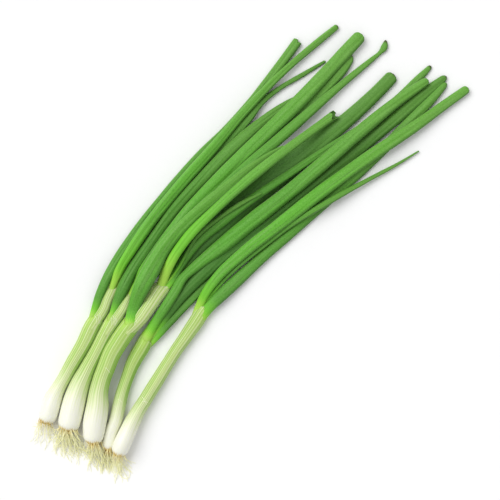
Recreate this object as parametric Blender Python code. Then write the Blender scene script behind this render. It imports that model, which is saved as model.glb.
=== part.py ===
# A bunch of five spring onions lying on a table
# It lies along X from its roots to its leaf tips, and across Y, with its lowest points at z = 0.
# Every piece follows a route seen from above. Heights come from laying the pieces down one by one.
import math
import random

import bmesh
import bpy
import numpy as np

# Sizes are in millimetres, and this turns them into metres
MM = 0.001

# The middle of the whole bunch, in the millimetres of the routes below
MIDDLE_ALONG = 1.1
MIDDLE_ACROSS = -0.2

# How pieces rest on each other
GAP = 0.4
FLOOR = 0.0
BULB_SINK = 0.6
CELL = 0.25
FINE_STEP, FINE_ACROSS = 0.2, 121
BEND_WINDOW = 121
ALONG_FROM, ALONG_TO = -230.0, 232.0
ACROSS_FROM, ACROSS_TO = -80.0, 82.0

# How finely the pieces are made
STALK_SIDES, STALK_STEP = 16, 5.0
LEAF_SIDES, LEAF_STEP = 10, 22.0
TIP_STEPS = (0.0, 0.45, 0.8, 1.0)
ROOT_SIDES, ROOT_STEPS = 3, 4

# A leaf leaves its stalk at this height and comes down to the pile over this length
NECK_HEIGHT = 6.0
NECK_RUN = 70.0

# Stalks, as (along, across, half width, half height): root plate, bulb, neck, shaft, fork and inner sheath
STALKS = {
    "onion_1": [
        (-203, 21, 3.4, 3.4), (-199, 22.5, 6.2, 6.2), (-192, 25.3, 7.6, 7.6), (-184, 28.6, 7.3, 7.3),
        (-174, 31, 5.7, 5.7), (-164, 33, 5.5, 5.4), (-150, 35.7, 5.9, 5.4), (-136, 38.3, 6.4, 5.5),
        (-120, 41.6, 6.6, 5.5), (-112, 42.6, 6.3, 5.3), (-108, 43.2, 4.6, 4.6), (-102, 44.3, 4.2, 4.2),
        (-95, 46.7, 4.0, 3.8), (-88, 48.7, 3.6, 3.3), (-84.5, 49.6, 2.8, 2.4),
    ],
    "onion_2": [
        (-195.5, 4, 4.0, 4.0), (-191, 6.3, 7.6, 7.6), (-184, 9.8, 9.1, 9.1), (-176, 13.5, 9.2, 9.2),
        (-168, 16.8, 8.6, 8.6), (-158, 20.2, 7.5, 7.3), (-148, 23, 6.4, 6.2), (-138, 25.1, 5.9, 5.6),
        (-128, 27.4, 5.6, 5.3), (-118, 29.7, 5.7, 5.2), (-109, 31.3, 5.8, 5.2), (-105, 31.4, 5.6, 5.1),
        (-100, 31.2, 4.4, 4.4), (-94, 31.8, 4.2, 4.0), (-87, 33.4, 3.7, 3.4), (-79.5, 35, 2.8, 2.4),
    ],
    "onion_4": [
        (-188, -31, 3.0, 3.0), (-184, -28.6, 4.5, 4.5), (-176, -24.4, 5.1, 5.1), (-166, -21.0, 5.3, 5.3),
        (-156, -16.6, 5.5, 5.4), (-146, -11.6, 5.3, 5.2), (-136, -7.2, 5.2, 5.0), (-126, -3.4, 5.5, 5.1),
        (-116, -0.8, 6.0, 5.2), (-106, 0.8, 6.2, 5.2), (-99, 2, 5.9, 4.8), (-96, 2.4, 4.8, 3.8),
    ],
    "onion_3": [
        (-191, -18.5, 4.4, 4.4), (-187, -15.6, 7.8, 7.8), (-180, -11, 9.3, 9.3), (-172, -6.3, 9.4, 9.4),
        (-164, -1.5, 8.8, 8.8), (-156, 4, 7.6, 7.5), (-147, 8.7, 7.1, 6.6), (-138, 12, 7.1, 6.2),
        (-128, 15.1, 7.2, 5.9), (-118, 17.0, 7.4, 5.8), (-108, 18.2, 7.5, 5.7), (-99, 18.8, 7.5, 5.7),
        (-94.5, 18.6, 7.0, 5.4), (-89.5, 16.9, 5.3, 5.0), (-82, 16.9, 5.0, 4.8), (-72, 18.1, 5.1, 4.5),
        (-62, 18.9, 5.0, 4.0), (-57.5, 19.4, 4.0, 3.0),
    ],
    "onion_5": [
        (-185.5, -40.3, 3.2, 3.2), (-182, -38.8, 5.5, 5.5), (-175, -36.6, 7.0, 7.0), (-165, -34, 6.7, 6.7),
        (-156, -31.8, 6.3, 6.3), (-147, -29.9, 5.6, 5.6), (-138, -28.4, 5.4, 5.3), (-120, -25.9, 5.3, 5.1),
        (-102, -23.4, 5.0, 4.8), (-88, -21.8, 5.1, 4.8), (-74, -20.3, 5.6, 4.8), (-64, -19.4, 6.0, 4.8),
        (-58, -18.2, 5.9, 4.6), (-55.5, -17.7, 4.9, 3.8),
    ],
}

# Leaves from the lowest in the pile to the highest, as (along, across, half width) from base to tip
LEAVES = {
    "onion_1_leaf_1": [
        (-107, 49.3, 2.6), (-95, 53, 3.8), (-78, 58, 4.0), (-60, 61.5, 4.0), (-40, 63.5, 4.0), (-8, 64.5, 4.1),
        (40, 63.5, 4.1), (73, 60.3, 4.1), (103, 59.5, 4.0), (135, 61, 4.0), (163, 63, 3.4),
    ],
    "onion_1_leaf_3": [
        (-81, 48.2, 1.9), (-59, 52.6, 2.4), (-32, 55, 2.4), (5, 56, 2.4), (42, 54.6, 2.8), (66, 53.3, 3.4),
        (87, 53, 3.2), (106, 53.3, 2.5), (124, 49.5, 1.9), (141, 43.5, 1.9), (164, 35.5, 0.9),
    ],
    "onion_2_leaf_1": [
        (-100.5, 37.5, 3.6), (-84, 41.3, 4.7), (-64, 46, 4.6), (-35, 49.5, 4.1), (-6, 52, 4.3), (26, 50.3, 4.8),
        (60, 48, 5.0), (95, 42.5, 4.2), (119, 36, 3.3), (128, 33, 2.2),
    ],
    "onion_1_leaf_2": [
        (-81.5, 52, 2.8), (-71, 54.5, 3.6), (-52, 57.2, 4.1), (-23, 60, 4.4), (8, 60.7, 4.4), (50, 59.6, 4.2),
        (92, 59, 3.4), (137, 55.5, 2.8), (173, 49.7, 2.6), (192, 46, 1.5),
    ],
    "onion_2_leaf_4": [
        (-66, 40, 2.0), (-45, 42.5, 2.2), (-16, 44.5, 2.2), (32, 41.5, 2.4), (76, 33, 3.2), (111, 25.6, 4.4),
        (148, 21.3, 4.4), (170, 21, 4.2), (181, 21.5, 3.3),
    ],
    "onion_2_leaf_2": [
        (-76.5, 34.3, 3.0), (-55, 36.5, 4.8), (-27, 40, 5.6), (3, 41.4, 5.7), (36, 39.6, 5.7), (80, 35.5, 5.7),
        (127, 30.7, 5.5), (170, 28.5, 5.0), (191, 27.7, 4.4), (199, 27.5, 3.0),
    ],
    "onion_2_leaf_3": [
        (-60, 29, 2.0), (-30, 32, 2.2), (-5, 34, 2.6), (30, 33, 3.4), (52, 30.3, 4.0), (82, 25.2, 4.3),
        (113, 20.5, 4.2), (145, 15.5, 3.2), (160, 13, 2.5), (177, 10.3, 2.0), (191, 7.8, 1.7), (197, 7.2, 2.0),
        (206.5, 8.7, 2.3),
    ],
    "onion_3_leaf_5": [
        (-53.5, 19, 2.2), (-27, 19.5, 2.4), (6, 15, 2.8), (38, 9.5, 3.8), (69, 4, 5.2), (104, -3, 5.6),
        (146, -10, 5.5), (180, -13.4, 5.0), (191, -14, 3.4),
    ],
    "onion_3_leaf_1": [
        (-89.5, 26.2, 3.2), (-80, 28.7, 4.9), (-63, 32.7, 6.2), (-50, 35.6, 6.2), (-36, 38, 5.5), (-20, 38.2, 5.0),
        (-4, 37, 4.6), (31, 32, 3.6), (56, 27.5, 2.4), (79, 20.5, 2.0), (89.5, 16.8, 1.2),
    ],
    "onion_3_leaf_2": [
        (-54, 22.3, 2.6), (-38, 27.2, 3.4), (-18, 29, 3.7), (15, 26.5, 3.5), (50, 21.5, 4.0), (88, 13.6, 3.7),
        (128, 4, 3.5), (136, 2, 3.2),
    ],
    "onion_3_leaf_3": [
        (-53, 16.2, 2.6), (-31, 19.5, 3.4), (-11, 20, 3.8), (10, 16.5, 4.4), (39, 10, 3.7), (67, 2, 3.2),
        (104, -9, 3.0), (140, -20.3, 3.0), (180, -28.5, 3.0), (206, -31.3, 2.7), (215.5, -32, 1.7),
    ],
    "onion_3_leaf_4": [
        (-44, 18.5, 1.0), (-8, 23.3, 1.3), (13, 19.5, 1.5), (32, 14, 1.8), (49.5, 6.5, 0.7),
    ],
    "onion_4_leaf_3": [
        (-93, -3.2, 2.6), (-76, -3.6, 3.2), (-53, -5, 3.3), (-20, -8.5, 3.4), (20, -16, 3.2), (50, -21, 2.5),
        (62, -23, 1.3),
    ],
    "onion_4_leaf_2": [
        (-85, 0.6, 2.8), (-57, 2, 3.5), (-25, -2, 3.6), (16, -9, 3.8), (57, -16.5, 4.0), (97, -25, 4.6),
        (137, -32.5, 4.8), (178, -40.3, 4.3), (205, -44.5, 2.8), (217, -46, 1.3),
    ],
    "onion_4_leaf_1": [
        (-93, 5, 3.6), (-83, 7, 3.9), (-64, 9.6, 3.7), (-46, 11.4, 3.3), (-38, 11, 3.3), (-24, 9, 4.6),
        (-5, 4, 6.2), (25, -1.5, 6.3), (65, -9.8, 5.9), (107, -17, 5.6), (148, -24, 5.1), (178, -30, 4.3),
        (198, -35.5, 3.6), (205, -37.5, 2.0),
    ],
    "onion_5_leaf_2": [
        (-47, -20, 3.4), (-40, -20.6, 4.6), (-24, -22.5, 5.2), (8, -26.5, 4.6), (50, -33, 4.4), (92, -39.5, 4.3),
        (135, -45.5, 4.0), (170, -48, 3.6), (200, -50, 2.6), (213, -50.5, 1.3),
    ],
    "onion_5_leaf_3": [
        (-42, -15, 1.4), (-11, -16.5, 1.7), (19, -22, 2.0), (44, -27.5, 2.2), (80, -39.5, 2.4), (114, -52.5, 1.8),
        (139, -62.5, 1.2), (157, -68.5, 0.6),
    ],
    "onion_5_leaf_1": [
        (-52, -13.3, 3.0), (-41, -10.5, 3.6), (-24, -9.6, 4.2), (1, -12.5, 4.6), (40, -20.5, 5.0), (80, -29, 5.3),
        (128, -41, 4.8), (174, -54, 4.2), (200, -60.5, 3.3), (214, -64.2, 3.1), (221, -66, 2.0),
    ],
}

# How thick a leaf is for its width: most are half-flattened tubes
LEAF_FLATNESS = 0.6
ROUND_LEAVES = {"onion_4_leaf_1": 0.75, "onion_3_leaf_2": 0.75, "onion_1_leaf_2": 0.75, "onion_5_leaf_3": 0.95}
THINNEST_HALF = 0.45

# Root tufts, as (plate along, plate across, plate half width, sweep along, sweep across, spread)
ROOTS = {
    "onion_1": (-204.5, 20.3, 3.2, -11, -11, 7.5),
    "onion_2": (-197.2, 3.1, 3.6, -13, -15, 7.0),
    "onion_3": (-192.8, -19.8, 3.8, -15, -15, 5.5),
    "onion_4": (-189.6, -31.9, 2.6, -15, -12.5, 3.4),
    "onion_5": (-187.3, -40.9, 2.8, -14, -13, 3.4),
}
ROOTS_IN_A_TUFT = 11
ROOT_HALF_WIDTH = 0.5
ROOT_TIP_HALF_WIDTH = 0.36
ROOT_PLATE_DEPTH = 2.4
ROOT_AHEAD = np.array([0.93, 0.37])
ROOT_START = (-11.0, -3.0)
ROOT_SEED = 7

COLOURS = {
    "stalk": ((0.70, 0.80, 0.42, 1.0), 0.4),
    "leaf": ((0.10, 0.33, 0.06, 1.0), 0.42),
    "roots": ((0.72, 0.66, 0.38, 1.0), 0.75),
}


def clear_scene():
    for thing in list(bpy.data.objects):
        bpy.data.objects.remove(thing)


def material(kind):
    """The flat finish of one kind of piece."""
    found = bpy.data.materials.get(kind)
    if found:
        return found
    colour, roughness = COLOURS[kind]
    made = bpy.data.materials.new(kind)
    made.use_nodes = True
    shader = made.node_tree.nodes["Principled BSDF"]
    shader.inputs["Base Color"].default_value = colour
    shader.inputs["Roughness"].default_value = roughness
    shader.inputs["Metallic"].default_value = 0.0
    return made


def smooth_route(points, places):
    """Reads a smooth curve through the points at the given distances along it, and gives one row for each."""
    points = np.array(points, float)
    steps = np.hypot(*np.diff(points[:, :2], axis=0).T)
    reach = np.concatenate([[0.0], np.cumsum(steps)])
    slopes = np.gradient(points, reach, axis=0)
    index = np.clip(np.searchsorted(reach, places, side="right") - 1, 0, len(steps) - 1)
    span = steps[index][:, None]
    t = ((places - reach[index]) / steps[index])[:, None]
    start, end = points[index], points[index + 1]
    leave, arrive = slopes[index] * span, slopes[index + 1] * span
    return (
        (2 * t**3 - 3 * t**2 + 1) * start
        + (t**3 - 2 * t**2 + t) * leave
        + (3 * t**2 - 2 * t**3) * end
        + (t**3 - t**2) * arrive
    )


def route_length(points):
    points = np.array(points, float)
    return float(np.hypot(*np.diff(points[:, :2], axis=0).T).sum())


def stalk_stations(points):
    """Rings of a stalk as rows of along, across, half width and half height."""
    length = route_length(points)
    count = int(length / STALK_STEP) + 1
    return smooth_route(points, np.linspace(0, length, count))


def leaf_stations(points, flatness):
    """Rings of a leaf, closer together at its rounded tip."""
    length = route_length(points)
    tip = 2.5 * points[-1][2]
    count = max(6, round((length - tip) / LEAF_STEP))
    places = list(np.linspace(0, length - tip, count)) + [length - tip * (1 - s) for s in TIP_STEPS[1:]]
    rows = smooth_route(points, np.array(places))
    thick = np.maximum(rows[:, 2] * flatness, THINNEST_HALF)
    rows = np.column_stack([rows[:, :3], thick])
    for ring, s in enumerate(TIP_STEPS[1:], start=count):
        rows[ring, 2:] *= math.sqrt(max(0.12, 1 - 0.92 * s * s))
    rows[:, 3] = np.maximum(rows[:, 3], THINNEST_HALF * 0.8)
    return rows


def sideways(rows):
    """Unit vectors across each ring, seen from above."""
    along = np.gradient(rows[:, :2], axis=0)
    along /= np.linalg.norm(along, axis=1)[:, None]
    return np.column_stack([-along[:, 1], along[:, 0]])


class Pile:
    """The height of all that has been laid down, on a fine grid over the table."""

    def __init__(self):
        shape = (int((ALONG_TO - ALONG_FROM) / CELL), int((ACROSS_TO - ACROSS_FROM) / CELL))
        self.top = np.full(shape, FLOOR)

    def cells(self, rows):
        """Fine steps along the rings and points across each step: cell numbers, heights of the round, places."""
        rings = np.arange(len(rows))
        reach = np.hypot(*np.diff(rows[:, :2], axis=0).T)
        fine = np.concatenate([np.linspace(k, k + 1, int(reach[k] / FINE_STEP) + 2)[:-1] for k in rings[:-1]] + [[rings[-1]]])
        line = np.column_stack([np.interp(fine, rings, rows[:, k]) for k in range(4)])
        side = sideways(rows)
        side = np.column_stack([np.interp(fine, rings, side[:, k]) for k in range(2)])
        t = np.linspace(-1, 1, FINE_ACROSS)
        spots = line[:, None, :2] + side[:, None, :] * (line[:, 2, None, None] * t[None, :, None])
        i = ((spots[..., 0] - ALONG_FROM) / CELL).astype(int)
        j = ((spots[..., 1] - ACROSS_FROM) / CELL).astype(int)
        curve = line[:, 3, None] * np.sqrt(1 - t * t)[None, :]
        return fine, i, j, curve

    def lay(self, rows, stiffness, least, sink=0.0):
        """Heights of the rings of a piece that comes to rest on the pile, which then holds the piece too."""
        fine, i, j, curve = self.cells(rows)
        under = self.top[i, j]
        need = (under + curve + np.where(under > FLOOR, GAP, -sink)).max(axis=1)
        need = np.maximum(need, np.interp(fine, np.arange(len(rows)), least))
        height = need.copy()
        kernel = np.hanning(BEND_WINDOW + 2)[1:-1]
        kernel /= kernel.sum()
        for _ in range(stiffness):
            padded = np.pad(height, BEND_WINDOW // 2, mode="edge")
            height = np.maximum(need, np.convolve(padded, kernel, "valid"))
        rings = np.interp(np.arange(len(rows)), fine, height)
        for _ in range(4):
            short = need - np.interp(fine, np.arange(len(rows)), rings)
            for k in range(len(rows) - 1):
                within = short[(fine >= k) & (fine <= k + 1)].max()
                if within > 0:
                    rings[k : k + 2] += within
        level = np.interp(fine, np.arange(len(rows)), rings)
        np.maximum.at(self.top, (i, j), level[:, None] + curve)
        return rings


def new_object(name, shape, kind):
    """Turns a bmesh, in metres, into a finished object of one material."""
    bmesh.ops.recalc_face_normals(shape, faces=shape.faces)
    mesh = bpy.data.meshes.new(name)
    shape.to_mesh(mesh)
    shape.free()
    mesh.shade_smooth()
    mesh.materials.append(material(kind))
    thing = bpy.data.objects.new(name, mesh)
    bpy.context.scene.collection.objects.link(thing)
    return thing


def tube(rings):
    """A closed bmesh skin over a list of rings, each a list of points in millimetres."""
    shape = bmesh.new()
    loops = [[shape.verts.new([c * MM for c in point]) for point in ring] for ring in rings]
    sides = len(loops[0])
    for low, high in zip(loops, loops[1:]):
        for k in range(sides):
            nxt = (k + 1) % sides
            shape.faces.new([low[k], low[nxt], high[nxt], high[k]])
    shape.faces.new(list(reversed(loops[0])))
    shape.faces.new(loops[-1])
    return shape


def upright_rings(rows, heights, sides):
    """Elliptical rings that stand across a route, none of them below the table."""
    rings = []
    half = math.pi / sides
    for (x, y, wide, high), z, (sx, sy) in zip(rows, heights, sideways(rows)):
        ring = []
        for k in range(sides):
            turn = 2 * math.pi * k / sides + half
            out, up = wide * math.cos(turn), high * math.sin(turn)
            point = (x + sx * out - MIDDLE_ALONG, y + sy * out - MIDDLE_ACROSS, max(FLOOR, z + up))
            ring.append(point)
        rings.append(ring)
    return rings


def make_stalk(pile, name, points):
    rows = stalk_stations(points)
    heights = pile.lay(rows, stiffness=90, least=np.zeros(len(rows)), sink=BULB_SINK)
    new_object(name + "_stalk", tube(upright_rings(rows, heights, STALK_SIDES)), "stalk")
    return heights[0]


def make_leaf(pile, name, points):
    rows = leaf_stations(points, ROUND_LEAVES.get(name, LEAF_FLATNESS))
    reach = np.concatenate([[0.0], np.cumsum(np.hypot(*np.diff(rows[:, :2], axis=0).T))])
    fade = np.clip(1 - reach / NECK_RUN, 0, 1) ** 2
    heights = pile.lay(rows, stiffness=70, least=rows[:, 3] + (NECK_HEIGHT - rows[0, 3]) * fade)
    new_object(name, tube(upright_rings(rows, heights, LEAF_SIDES)), "leaf")


def root_strand(start, sweep, spread, chance):
    """One root: out of the plate, bending to the sweep, down on to the table."""
    long = chance.uniform(0.62, 1.0)
    lift = chance.uniform(0.0, 1.2)
    lean = chance.uniform(-1, 1)
    s = np.linspace(0, 1, ROOT_STEPS + 1)
    across = np.array([-sweep[1], sweep[0]]) / math.hypot(*sweep)
    xy = np.outer(s * (1 - s) * long, ROOT_START) + np.outer(s * s * long, sweep)
    xy = xy + np.outer(s**1.5 * lean * spread, across) + start[:2]
    half = ROOT_HALF_WIDTH + (ROOT_TIP_HALF_WIDTH - ROOT_HALF_WIDTH) * s
    heights = half + lift * (1 - s) + (start[2] - half) * (1 - s) ** 1.6
    return tube(upright_rings(np.column_stack([xy, half, half]), heights, ROOT_SIDES))


def make_roots(name, plan, height, chance):
    """A tuft: a small plate with roots sunk into it, joined into one solid."""
    along, across, half, sweep_along, sweep_across, spread = plan
    centre = np.array([along, across])
    side = np.array([-ROOT_AHEAD[1], ROOT_AHEAD[0]])
    back = np.array([0.0, 0.6, 1.0]) * ROOT_PLATE_DEPTH
    wide = np.array([1.0, 0.95, 0.6]) * half
    plate = np.column_stack([centre - np.outer(back, ROOT_AHEAD), wide, wide])
    tuft = new_object(name + "_roots", tube(upright_rings(plate, [height] * 3, 10)), "roots")
    strands = bpy.data.collections.new(name + "_strands")
    for number in range(ROOTS_IN_A_TUFT):
        angle = 2 * math.pi * (number + chance.uniform(0, 0.5)) / ROOTS_IN_A_TUFT
        out = half * (0.25 + 0.42 * (number % 3) / 2)
        xy = centre - ROOT_AHEAD * ROOT_PLATE_DEPTH * 0.45 + side * out * math.cos(angle)
        start = (*xy, height + out * math.sin(angle))
        strand = new_object("strand", root_strand(start, (sweep_along, sweep_across), spread, chance), "roots")
        bpy.context.scene.collection.objects.unlink(strand)
        strands.objects.link(strand)
    join(tuft, strands)


def keep_outer_skin(mesh):
    """Fills any hollow that fusing sealed and drops loose scraps, by keeping the longest connected skin."""
    shape = bmesh.new()
    shape.from_mesh(mesh)
    skins, left = [], set(shape.verts)
    while left:
        skin, front = set(), [left.pop()]
        while front:
            vert = front.pop()
            skin.add(vert)
            near = {edge.other_vert(vert) for edge in vert.link_edges} & left
            left -= near
            front.extend(near)
        skins.append(skin)
    longest = max(skins, key=lambda skin: max(v.co.x for v in skin) - min(v.co.x for v in skin))
    spare = [vert for skin in skins if skin is not longest for vert in skin]
    bmesh.ops.delete(shape, geom=spare, context="VERTS")
    shape.to_mesh(mesh)
    shape.free()


def join(thing, pieces):
    """Fuses a collection of closed pieces into one object, and removes them."""
    modifier = thing.modifiers.new("Join", "BOOLEAN")
    modifier.operation = "UNION"
    modifier.operand_type = "COLLECTION"
    modifier.collection = pieces
    modifier.solver = "MANIFOLD"
    bpy.context.view_layer.update()
    fused = bpy.data.meshes.new_from_object(thing.evaluated_get(bpy.context.evaluated_depsgraph_get()))
    keep_outer_skin(fused)
    thing.modifiers.clear()
    thing.data = fused
    for piece in list(pieces.objects):
        bpy.data.objects.remove(piece)
    bpy.data.collections.remove(pieces)


def main():
    clear_scene()
    pile = Pile()
    chance = random.Random(ROOT_SEED)
    plate_heights = {name: make_stalk(pile, name, points) for name, points in STALKS.items()}
    for name, points in LEAVES.items():
        make_leaf(pile, name, points)
    for name, plan in ROOTS.items():
        make_roots(name, plan, plate_heights[name], chance)


main()
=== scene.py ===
# The looks of a bunch of five spring onions that lies on a table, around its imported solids.
# Routes are in millimetres along and across the bunch, as in the part's source. MM turns them into metres.
# Each sheath and each leaf is an upright tube that is laid along its route, at the height of its solid.
import math
import random

import bmesh
import bpy
import numpy as np
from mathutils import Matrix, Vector
from mathutils.bvhtree import BVHTree


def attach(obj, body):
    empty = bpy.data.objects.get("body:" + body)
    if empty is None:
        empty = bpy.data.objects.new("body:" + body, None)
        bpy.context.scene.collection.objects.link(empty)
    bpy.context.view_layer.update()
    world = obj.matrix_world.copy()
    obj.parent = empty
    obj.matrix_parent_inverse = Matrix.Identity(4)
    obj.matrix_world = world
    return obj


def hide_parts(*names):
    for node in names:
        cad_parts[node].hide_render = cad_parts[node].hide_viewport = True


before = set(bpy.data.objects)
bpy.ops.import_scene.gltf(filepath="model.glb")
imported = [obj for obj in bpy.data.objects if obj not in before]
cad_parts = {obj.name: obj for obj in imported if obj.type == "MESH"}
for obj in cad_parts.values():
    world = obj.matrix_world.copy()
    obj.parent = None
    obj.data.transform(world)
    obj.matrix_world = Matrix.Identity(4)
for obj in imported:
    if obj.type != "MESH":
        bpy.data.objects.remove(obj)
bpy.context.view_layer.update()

MM = 0.001
# The middle of the bunch's box in those millimetres, which is the middle of the frame
MIDDLE = np.array([1.1, -0.2])
# No point of a sheath, a leaf or a root plate goes lower than this
LOWEST = 0.02
SEED = 11

# Outer sheaths, as (along, across, half width, half height): root plate, bulb, neck, shaft and fork
SHEATHS = {
    "onion_1": [
        (-203.6, 20.8, 5.6, 5.6), (-200.5, 22, 6.8, 6.8), (-192, 25.3, 7.6, 7.6), (-184, 28.6, 7.3, 7.3),
        (-174, 31, 5.7, 5.7), (-164, 33, 5.5, 5.4), (-150, 35.5, 5.8, 5.4), (-136, 37.8, 6.1, 5.4),
        (-120, 41.6, 6.6, 5.5), (-112, 43.1, 6.2, 5.3), (-104, 45, 5.4, 4.8),
    ],
    "onion_2": [
        (-196.5, 3.2, 7.4, 7.4), (-192.5, 5.3, 8.6, 8.6), (-184, 9.8, 9.2, 9.1), (-176, 13.5, 9.2, 9.2),
        (-168, 16.8, 8.6, 8.6), (-158, 20.2, 7.5, 7.3), (-148, 23, 6.4, 6.2), (-138, 25.1, 5.9, 5.6),
        (-128, 27.4, 5.6, 5.3), (-118, 29.7, 5.7, 5.2), (-109, 31.5, 5.7, 5.1), (-98, 33.6, 5.0, 4.6),
    ],
    "onion_3": [
        (-191.6, -19, 6.4, 6.4), (-188, -16.5, 7.7, 7.7), (-180, -11, 9.2, 9.2), (-172, -6.3, 9.4, 9.4),
        (-164, -1.5, 8.8, 8.8), (-156, 4, 7.6, 7.5), (-147, 8.7, 7.1, 6.6), (-138, 12, 7.1, 6.2),
        (-128, 15.1, 7.2, 5.9), (-118, 17.0, 7.4, 5.8), (-108, 18.2, 7.5, 5.7), (-99, 18.9, 7.4, 5.6),
        (-90, 20.2, 6.6, 5.2),
    ],
    "onion_4": [
        (-188.4, -31.3, 4.3, 4.3), (-185, -29.2, 4.9, 4.8), (-176, -24.4, 5.2, 5.1),
        (-166, -21.0, 5.3, 5.3), (-156, -16.4, 5.4, 5.3), (-146, -11.2, 5.1, 5.0), (-136, -6.9, 5.0, 4.9),
        (-126, -3.3, 5.4, 5.1), (-116, -0.8, 6.0, 5.2), (-106, 0.8, 6.2, 5.1), (-98, 2.2, 5.9, 4.6),
        (-89, 3.6, 5.2, 4.0),
    ],
    "onion_5": [
        (-186.2, -40.4, 5.2, 5.2), (-183, -39.2, 6.3, 6.2), (-175, -36.6, 7.0, 7.0), (-165, -34, 6.7, 6.7),
        (-156, -31.8, 6.3, 6.3), (-147, -29.9, 5.6, 5.6), (-138, -28.4, 5.4, 5.3), (-120, -25.9, 5.3, 5.1),
        (-102, -23.4, 5.0, 4.8), (-88, -21.8, 5.1, 4.8), (-74, -20.3, 5.6, 4.8), (-64, -19.4, 6.0, 4.7),
        (-55, -18.4, 5.9, 4.5), (-43, -17.6, 5.2, 3.8),
    ],
}

# The mouth of each outer sheath: its mean place along the bunch, its slant, and its longest side.
# Sides are in degrees, with 0 at the left, 90 at the top and 180 at the right.
MOUTHS = {
    "onion_1": (-110, 3.5, 20),
    "onion_2": (-105, 5.0, 35),
    "onion_3": (-97, 4.0, 75),
    "onion_4": (-98, 6.0, 30),
    "onion_5": (-51, 6.5, 140),
}
# The side where a blade goes on from the sheath. There the mouth is cut back and has no rim of its own.
BLADE_SIDES = {"onion_1": 45, "onion_2": 50, "onion_3": 62, "onion_4": 78, "onion_5": 118}
# How far it is cut back, over what half angle, and how long the blade's colour fades in before it
BLADE_CUT, BLADE_SPREAD, BLADE_FADE = 7.0, 0.6, 9.0

# Inner sheaths that go on past the fork, as the outer ones, and their own mouths
INNER_SHEATHS = {
    "onion_1": [
        (-122, 41.3, 4.0, 3.8), (-112, 42.4, 4.6, 4.4), (-102, 43.9, 4.5, 4.2), (-95, 46.5, 4.7, 3.8),
        (-88, 48.6, 5.0, 3.3), (-82, 50.3, 5.0, 2.8),
    ],
    "onion_2": [
        (-118, 29.6, 4.2, 4.0), (-109, 30.6, 4.7, 4.4), (-100, 31.2, 4.5, 4.4), (-94, 31.8, 4.3, 4.0),
        (-87, 33.4, 3.8, 3.4), (-78, 35.3, 2.9, 2.5),
    ],
    "onion_3": [
        (-106, 17.4, 4.8, 4.6), (-96, 16.4, 5.3, 5.0), (-88, 16.4, 5.8, 5.0), (-81, 17.3, 6.0, 4.8),
        (-72, 18.5, 6.4, 4.6), (-62, 19.4, 6.9, 4.2), (-53, 19.6, 7.1, 3.5),
    ],
}
INNER_MOUTHS = {
    "onion_1": (-84.8, 1.6, 180),
    "onion_2": (-80.5, 1.5, 0),
    "onion_3": (-57.4, 2.0, 180),
}
# How far the end of an inner sheath is lifted over its solid to meet its leaves, and from where to where
LIFTS = {"onion_3": (4.0, -98.0, -62.0)}

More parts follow.
